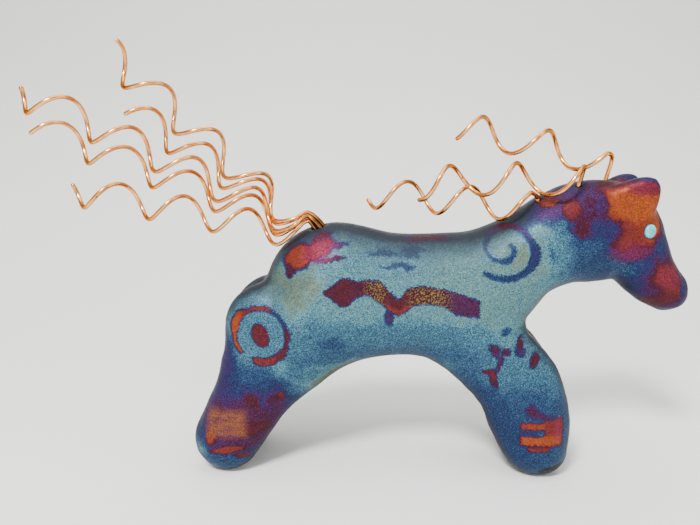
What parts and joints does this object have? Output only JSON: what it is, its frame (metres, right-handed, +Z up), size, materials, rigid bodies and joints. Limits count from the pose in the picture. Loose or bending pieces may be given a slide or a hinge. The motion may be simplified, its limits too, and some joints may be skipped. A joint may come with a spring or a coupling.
{
  "type": "ceramic horse sculpture",
  "caption": "Small raku-fired clay horse standing on four short legs, with inset turquoise eyes and a tail and mane of coiled copper wire.",
  "frame": {"origin": "on the ground, under the middle of the whole piece's bounding box", "axes": "+X from the haunches to the head, +Y to the horse's left side, +Z up"},
  "size_m": [0.3226, 0.056, 0.2119],
  "materials": {
    "glazed_clay": "metallic matte raku glaze, flashed blue, violet, copper red and gold",
    "copper_wire": "bright bare copper wire",
    "turquoise": "polished pale turquoise"
  },
  "bodies": {
    "root": {"horse_body": "glazed_clay", "tail_wire_1": "copper_wire", "tail_wire_2": "copper_wire", "tail_wire_3": "copper_wire", "tail_wire_4": "copper_wire", "tail_wire_5": "copper_wire", "mane_wire_1": "copper_wire", "mane_wire_2": "copper_wire", "mane_wire_3": "copper_wire", "eye_stone_left": "turquoise", "eye_stone_right": "turquoise"}
  },
  "joints": []
}
